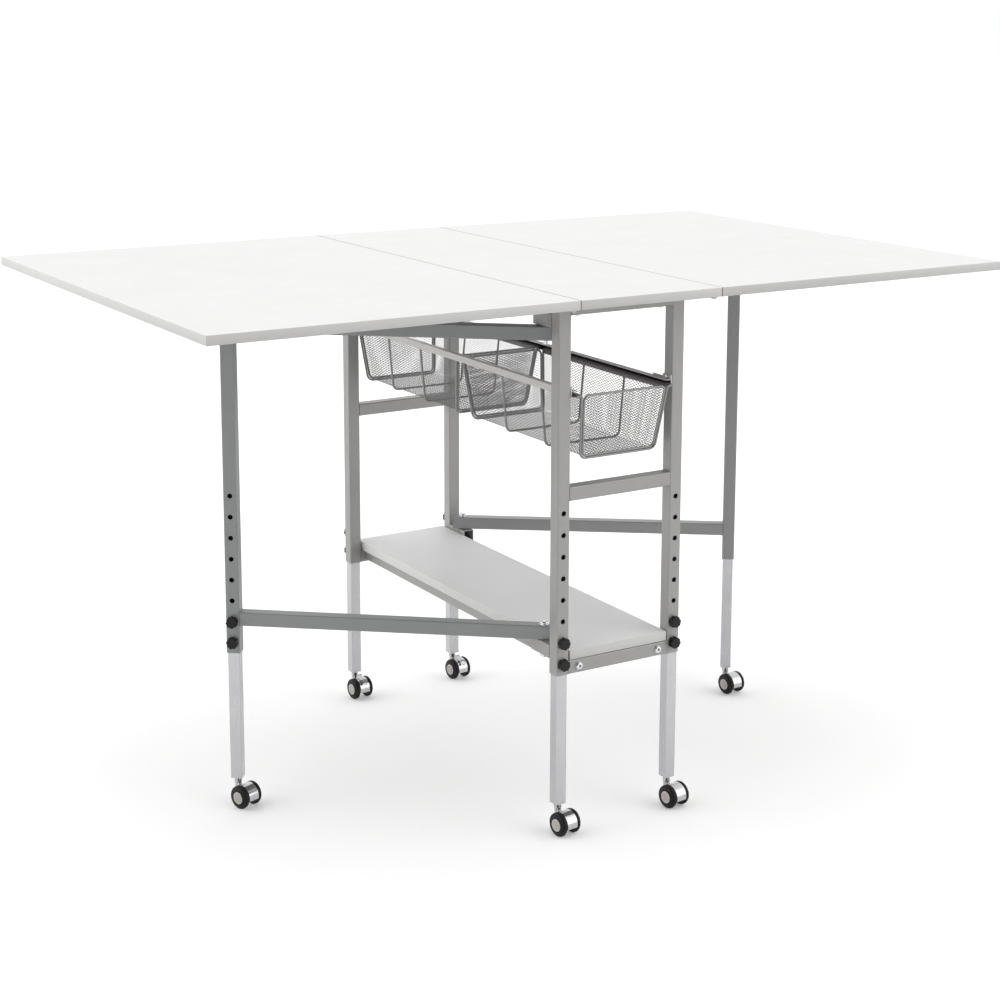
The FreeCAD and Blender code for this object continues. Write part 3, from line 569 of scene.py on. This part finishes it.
def caster(name):
    (ax, ay), deg = CASTERS[name]
    c, s = math.cos(math.radians(deg)), math.sin(math.radians(deg))

    def place(x, ry, rz):
        lx, ly = x, -TRAIL + ry
        return (ax + lx * c - ly * s, ay + lx * s + ly * c, WHEEL_R + rz)

    v, f = [], []
    tyre = rounded([(10.6, 2.9), (10.6, 9.0), (12.6, 9.8), (12.6, 15.6), (10.7, 16.4), (10.7, 18.8), (12.0, 20.0), (16.0, 20.0),
                    (17.8, 18.8), (18.35, 16.9), (17.9, 16.35), (18.75, 15.2), (19.6, 12.6), (19.8, 10.9), (19.2, 10.55),
                    (19.1, 3.0), (19.1, 0.0)], 0.9, 4)
    for mirror in (False, True):
        lathe(v, f, tyre, place, 80, mirror)
    axle = [(0.0, 2.9), (10.6, 2.9)]
    lathe(v, f, axle, place, 80, False)
    lathe(v, f, axle, place, 80, True)
    w = make(name + "_wheel_pair", v, f, [NYLON], None, 40.0, "wheels_" + name, [name + "_caster_wheels"])
    weld = w.modifiers.new("weld", "WELD")
    weld.merge_threshold = 0.00001
    v, f = [], []
    cap = rounded([(19.05, 0.0), (19.05, 10.3), (19.75, 10.3), (20.05, 9.6), (19.8, 8.6), (20.08, 7.6), (20.2, 0.0)], 0.4, 4)
    for mirror in (False, True):
        lathe(v, f, cap, place, 64, mirror)
    rim = [1 if min(cap[i][1], cap[i + 1][1]) > 8.5 else 0 for i in range(len(cap) - 1)]
    k = make(name + "_hub_caps", v, f, [HUB, HUB_RIM], rim * 128, 40.0, "wheels_" + name)
    weld = k.modifiers.new("weld", "WELD")
    weld.merge_threshold = 0.00001


for n in CASTERS:
    caster(n)


# ---------------------------------------------------------------- expanded mesh baskets
RIM_Z, BOT_Z = 733.0, 625.8
OUT_Y, IN_Y = 390.5, 10.0
LWD, SWD = 9.8, 4.6          # long and short way of one diamond
STRAND, SHEET_T = 0.86, 0.32


def end_y(z, outer):
    s = 20.0 / (RIM_Z - BOT_Z)
    d = (RIM_Z - z) * s
    return (OUT_Y - d) if outer else (IN_Y + d)


def resample(path, count):
    """count + 1 points at equal steps along a polyline, and the polyline's length."""
    segs = [math.dist(a, b) for a, b in zip(path, path[1:])]
    total = sum(segs)
    out = []
    for k in range(count + 1):
        d = total * k / count
        i = 0
        while i < len(segs) - 1 and d > segs[i]:
            d -= segs[i]
            i += 1
        t = d / segs[i]
        a, b = path[i], path[i + 1]
        out.append((a[0] + (b[0] - a[0]) * t, a[1] + (b[1] - a[1]) * t))
    return out, total


def arc2(cx, cy, r, a0, a1, n):
    return [(cx + r * math.cos(math.radians(a0 + (a1 - a0) * k / n)), cy + r * math.sin(math.radians(a0 + (a1 - a0) * k / n)))
            for k in range(n + 1)]


def diamond_sheet(name, nu, nv, surf, body, replaces=(), lo=0.0, hi=1.0):
    """Expanded mesh over a surface. surf(u, v) gives (point, normal); nu half cells long, nv half cells high."""
    verts, faces = [], []

    def vert(i, j, sgn):
        p, n = surf(i / nu, j / nv)
        verts.append(tuple(p[k] + n[k] * sgn * SHEET_T / 2 for k in range(3)))
        return len(verts) - 1

    shared = {}

    def node(i, j, sgn):
        key = (i, j, sgn)
        if key not in shared:
            shared[key] = vert(i, j, sgn)
        return shared[key]

    w = STRAND / SWD          # strand width in the short way, as a share of a cell
    # hole of a cell centred at the origin, half cell units: eased at the long ends
    kx, ky = 1.0 - 2.1 * w * 0.62, 1.0 - 1.25 * w
    hole = [(kx, 0.16), (0.0, ky), (-kx, 0.16), (-kx, -0.16), (0.0, -ky), (kx, -0.16)]
    for i in range(0, nu + 1):
        for j in range(0, nv + 1):
            if (i + j) % 2 == 0:
                continue
            if i - 1 < 0 or i + 1 > nu or j - 1 < 0 or j + 1 > nv:
                continue
            face_in = {}
            for sgn in (1, -1):
                R, T, L, B = node(i + 1, j, sgn), node(i, j + 1, sgn), node(i - 1, j, sgn), node(i, j - 1, sgn)
                ru, ti, lu, ll, bi, rl = [vert(i + hx, j + hy, sgn) for hx, hy in hole]
                quads = [[R, T, ti, ru], [T, L, lu, ti], [L, B, bi, ll], [B, R, rl, bi], [R, ru, rl], [L, ll, lu]]
                for q in quads:
                    faces.append(q if sgn > 0 else q[::-1])
                face_in[sgn] = [ru, ti, lu, ll, bi, rl]
            top, bot = face_in[1], face_in[-1]
            for k in range(6):
                m = (k + 1) % 6
                faces.append([top[k], top[m], bot[m], bot[k]])
    # close the outer rim of the sheet
    count = {}
    for fc in faces:
        for a, b in zip(fc, fc[1:] + fc[:1]):
            count[(a, b)] = count.get((a, b), 0) + 1
    back = {v: k for k, v in shared.items()}
    for (a, b) in list(count):
        if (b, a) not in count and a in back and b in back:
            (i1, j1, s1), (i2, j2, s2) = back[a], back[b]
            if s1 == s2 == 1:
                faces.append([b, a, shared[(i1, j1, -1)], shared[(i2, j2, -1)]])
    return make(name, verts, faces, [MESH], None, 60.0, body, replaces)


def basket(side, nm):
    body = "basket_" + nm
    # half profile of the trough in X-Z, from the middle of the bottom up to the rail
    zb = 628.35
    slope = math.degrees(math.atan2(729.6 - 628.0, 80.5 - 70.5))
    r = 8.5
    # bottom corner: centre found from the two tangents
    run = (80.5 - 70.5) / (729.6 - 628.0)
    th = math.radians(90.0 - slope)
    cz = zb + r
    line_x = 70.5 + (cz - 628.0) * run
    cx = line_x - r / math.cos(th)
    half = [(0.0, zb), (cx * 0.5, zb)] + arc2(cx, cz, r, -90.0, -math.degrees(th), 8)
    wall = (80.5 - 0.2 * run, 729.4)
    half += [wall]
    full = [(-x, z) for x, z in reversed(half)] + half[1:]
    total = sum(math.dist(a, b) for a, b in zip(full, full[1:]))
    nv = 2 * round(total / SWD)
    nv += nv % 2
    pts, _ = resample(full, nv * 4)
    length = OUT_Y - IN_Y - 20.0
    nu = 2 * round(length / LWD)

    def trough(u, v):
        t = v * (len(pts) - 1)
        k = min(int(t), len(pts) - 2)
        fr = t - k
        a, b = pts[k], pts[k + 1]
        x, z = a[0] + (b[0] - a[0]) * fr, a[1] + (b[1] - a[1]) * fr
        k0, k1 = max(k - 1, 0), min(k + 2, len(pts) - 1)
        dx, dz = pts[k1][0] - pts[k0][0], pts[k1][1] - pts[k0][1]
        d = math.hypot(dx, dz)
        y0, y1 = end_y(z, False), end_y(z, True)
        y = side * (y0 + (y1 - y0) * u)
        return (x, y, z), (-dz / d, 0.0, dx / d)

    diamond_sheet(nm + "_basket_trough", nu, nv, trough, body, [nm + "_basket_mesh"])

    # the mesh is folded over the side wires: a pressed hem, scalloped where the diamonds leave it
    up = [(wall[0] - 1.8 * run, 727.6), (wall[0] - 0.9 * run, 728.5)]
    up += arc2(86.4, 729.2, 5.9, 178.0, 90.0, 8) + [(89.0, 735.1), (91.5, 735.05), (93.3, 734.3)]
    m, t = len(up), 0.5
    for sx in (-1, 1):
        v, f = [], []
        steps = int((OUT_Y - IN_Y - 6.0) / LWD * 8)
        for i in range(steps + 1):
            u = i / steps
            wave = abs(math.cos(math.pi * (u * (OUT_Y - IN_Y - 6.0)) / LWD))
            rows = ([], [])
            for k, (x, z) in enumerate(up):
                z -= (1.3 * wave if k == 0 else 0.0)
                a, b = up[max(k - 1, 0)], up[min(k + 1, m - 1)]
                d = math.dist(a, b)
                nx, nz = -(b[1] - a[1]) / d, (b[0] - a[0]) / d
                y0, y1 = end_y(z, False) + 2.8, end_y(z, True) - 2.8
                y = side * (y0 + (y1 - y0) * u)
                dimple = 0.18 * math.sin(2 * math.pi * (u * (OUT_Y - IN_Y - 6.0)) / LWD) if 0 < k < m - 2 else 0.0
                for sgn, row in ((1, rows[0]), (-1, rows[1])):
                    h = sgn * t + dimple
                    row.append((sx * (x + nx * h), y, z + nz * h))
            v += rows[0] + rows[1][::-1]
        n = 2 * m
        flip = (sx > 0) != (side > 0)
        for i in range(steps):
            for k in range(n):
                q = [i * n + k, i * n + (k + 1) % n, (i + 1) * n + (k + 1) % n, (i + 1) * n + k]
                f.append(q[::-1] if flip else q)
        first, end = list(range(n)), [steps * n + k for k in range(n)]
        f.append(first if flip else first[::-1])
        f.append(end[::-1] if flip else end)
        make("%s_basket_hem_%s" % (nm, "right" if sx > 0 else "left"), v, f, [HEM_SHADED], None, 40.0, body)

    # end panels, inside the wire loops
    run_y = 20.0 / (RIM_Z - BOT_Z)
    tilt = math.hypot(1.0, run_y)
    z0, z1 = 629.2, 732.6
    w0, w1 = 68.4, 79.2
    nvE = 2 * round(math.hypot(z1 - z0, (z1 - z0) * run_y) / SWD)
    nuE = 2 * round((w0 + w1) / LWD)
    for outer, tag in ((True, "outer"), (False, "inner")):
        sgn = 1.0 if outer else -1.0
        n_out = (0.0, side * sgn / tilt, -run_y / tilt)

        def panel(u, v, outer=outer, n_out=n_out):
            z = z0 + (z1 - z0) * v
            w = w0 + (w1 - w0) * v
            x = -w + 2 * w * u
            y = side * end_y(z, outer)
            return (x - n_out[0] * 2.3, y - n_out[1] * 2.3, z - n_out[2] * 2.3), n_out

        flip = side * sgn > 0
        surf = (lambda u, v: panel(1 - u, v)) if flip else panel
        diamond_sheet("%s_basket_%s_end" % (nm, tag), nuE, nvE, surf, body)


basket(-1, "front")
basket(1, "back")

# ---------------------------------------------------------------- floor, light, camera
FLOOR_BOUNCE = 0.10
bpy.ops.mesh.primitive_plane_add(size=60.0, location=(0, 0, 0))
floor = bpy.context.active_object
floor.name = "floor"
fl = Mat("floor_plain")
fl.set(Roughness=0.9, Specular_IOR_Level=0.0, Emission_Color=(1.0, 1.0, 1.0, 1.0), Emission_Strength=0.17)
# the studio's floor: white to look at, with only part of its bounce reaching the object
lpf = fl.nt.nodes.new("ShaderNodeLightPath")
fl.color(fl.mix(lpf.outputs["Is Diffuse Ray"], (0.95, 0.95, 0.95), (FLOOR_BOUNCE, FLOOR_BOUNCE, FLOOR_BOUNCE)))
floor.data.materials.append(fl.m)

scene = bpy.context.scene
ROOM_DARK, LOW_SKY, HIGH_SKY = 0.0, 1.10, 1.12
RIGHT_BOX, LEFT_BOX = 1.1, 1.2
world = bpy.data.worlds.new("studio")
scene.world = world
world.use_nodes = True
wn = world.node_tree
wn.nodes.clear()
out = wn.nodes.new("ShaderNodeOutputWorld")
tc = wn.nodes.new("ShaderNodeTexCoord")
sep = wn.nodes.new("ShaderNodeSeparateXYZ")
wn.links.new(tc.outputs["Generated"], sep.inputs["Vector"])
def world_map(value, lo, hi, to_lo, to_hi, smooth=True):
    r = wn.nodes.new("ShaderNodeMapRange")
    r.interpolation_type = "SMOOTHSTEP" if smooth else "LINEAR"
    for key, val in (("From Min", lo), ("From Max", hi), ("To Min", to_lo), ("To Max", to_hi)):
        r.inputs[key].default_value = val
    wn.links.new(value, r.inputs["Value"])
    return r.outputs["Result"]


def world_math(op, x, y):
    n = wn.nodes.new("ShaderNodeMath")
    n.operation = op
    for i, v in enumerate((x, y)):
        if isinstance(v, float):
            n.inputs[i].default_value = v
        else:
            wn.links.new(v, n.inputs[i])
    return n.outputs["Value"]


# soft boxes all round, and a darker quarter of the room at the front left
away = world_math("ADD", world_math("MULTIPLY", sep.outputs["X"], 0.5255),
                  world_math("MULTIPLY", sep.outputs["Y"], 0.8508))
around = world_map(away, -0.80, -0.15, ROOM_DARK, 1.0)
height = world_map(sep.outputs["Z"], 0.0, 0.9, LOW_SKY, HIGH_SKY)
def soft_box(x, y, z, gain):
    """A soft lobe of light from one direction."""
    d = world_math("ADD", world_math("ADD", world_math("MULTIPLY", sep.outputs["X"], x),
                                     world_math("MULTIPLY", sep.outputs["Y"], y)),
                   world_math("MULTIPLY", sep.outputs["Z"], z))
    return world_map(d, 0.55, 0.98, 0.0, gain)


strength = world_math("ADD", world_math("MULTIPLY", around, height),
                      world_math("ADD", soft_box(0.60, -0.78, 0.18, RIGHT_BOX), soft_box(-0.96, 0.20, 0.18, LEFT_BOX)))
sky = wn.nodes.new("ShaderNodeBackground")
sky.inputs["Color"].default_value = (1.0, 0.998, 0.995, 1.0)
wn.links.new(strength, sky.inputs["Strength"])
plain = wn.nodes.new("ShaderNodeBackground")
plain.inputs["Color"].default_value = (1.0, 1.0, 1.0, 1.0)
plain.inputs["Strength"].default_value = 1.0
lp = wn.nodes.new("ShaderNodeLightPath")
mixw = wn.nodes.new("ShaderNodeMixShader")
wn.links.new(lp.outputs["Is Camera Ray"], mixw.inputs["Fac"])
wn.links.new(sky.outputs["Background"], mixw.inputs[1])
wn.links.new(plain.outputs["Background"], mixw.inputs[2])
wn.links.new(mixw.outputs["Shader"], out.inputs["Surface"])


def area(name, loc, target, size, power):
    d = bpy.data.lights.new(name, "AREA")
    d.shape = "DISK"
    d.size = size
    d.energy = power
    o = bpy.data.objects.new(name, d)
    scene.collection.objects.link(o)
    o.location = loc
    o.rotation_euler = (Vector(target) - Vector(loc)).to_track_quat("-Z", "Y").to_euler()
    return o


area("top_soft", (-0.3, -0.4, 4.2), (0, 0, 0.6), 3.6, 1.0)

cam_data = bpy.data.cameras.new("camera")
cam_data.sensor_width = 36.0
cam_data.sensor_fit = "HORIZONTAL"
cam_data.lens = 36.0 * 1963.6 / 1000.0
cam_data.shift_x = -0.025
cam_data.shift_y = -0.15
cam_data.clip_end = 200.0
cam = bpy.data.objects.new("camera", cam_data)
scene.collection.objects.link(cam)
az, pitch, roll = math.radians(31.7031), math.radians(10.4288), math.radians(0.2598)
fwd = Vector((math.sin(az) * math.cos(pitch), math.cos(az) * math.cos(pitch), -math.sin(pitch)))
right = Vector((math.cos(az), -math.sin(az), 0.0))
up = right.cross(fwd)
r2 = right * math.cos(roll) + up * math.sin(roll)
u2 = -right * math.sin(roll) + up * math.cos(roll)
rot = Matrix((r2, u2, -fwd)).transposed()
cam.matrix_world = Matrix.Translation((-1.7601532, -2.9326961, 1.3670047)) @ rot.to_4x4()
scene.camera = cam

scene.view_settings.view_transform = "Standard"
scene.view_settings.look = "None"
scene.view_settings.exposure = 0.0
scene.view_settings.gamma = 1.0

bpy.context.view_layer.update()
